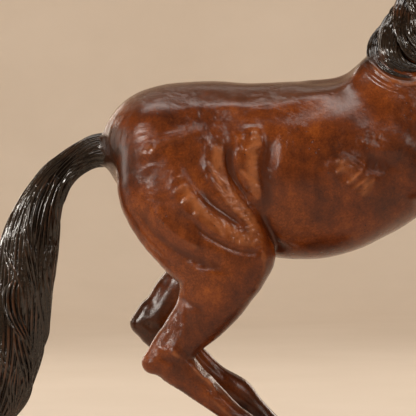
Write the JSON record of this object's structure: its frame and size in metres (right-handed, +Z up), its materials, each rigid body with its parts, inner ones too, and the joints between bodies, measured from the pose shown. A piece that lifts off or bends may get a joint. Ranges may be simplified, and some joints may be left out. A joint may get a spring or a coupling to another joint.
{
  "type": "rearing horse sculpture",
  "caption": "Cast bronze figure of a horse rearing on its hind legs, with flowing mane and tail, on a low oval ground plate.",
  "frame": {"origin": "middle of the base's flat underside", "axes": "+Z up; +X the way the horse looks; +Y to the horse's left"},
  "size_m": [0.4877, 0.136, 0.5066],
  "materials": {
    "brown_patina": "chestnut brown patina on bronze, waxed and polished, with small casting pits",
    "dark_patina": "near-black brown patina on bronze, satin, worn brown on the raised edges"
  },
  "bodies": {
    "root": {"horse": "brown_patina", "base": "dark_patina"}
  },
  "joints": []
}
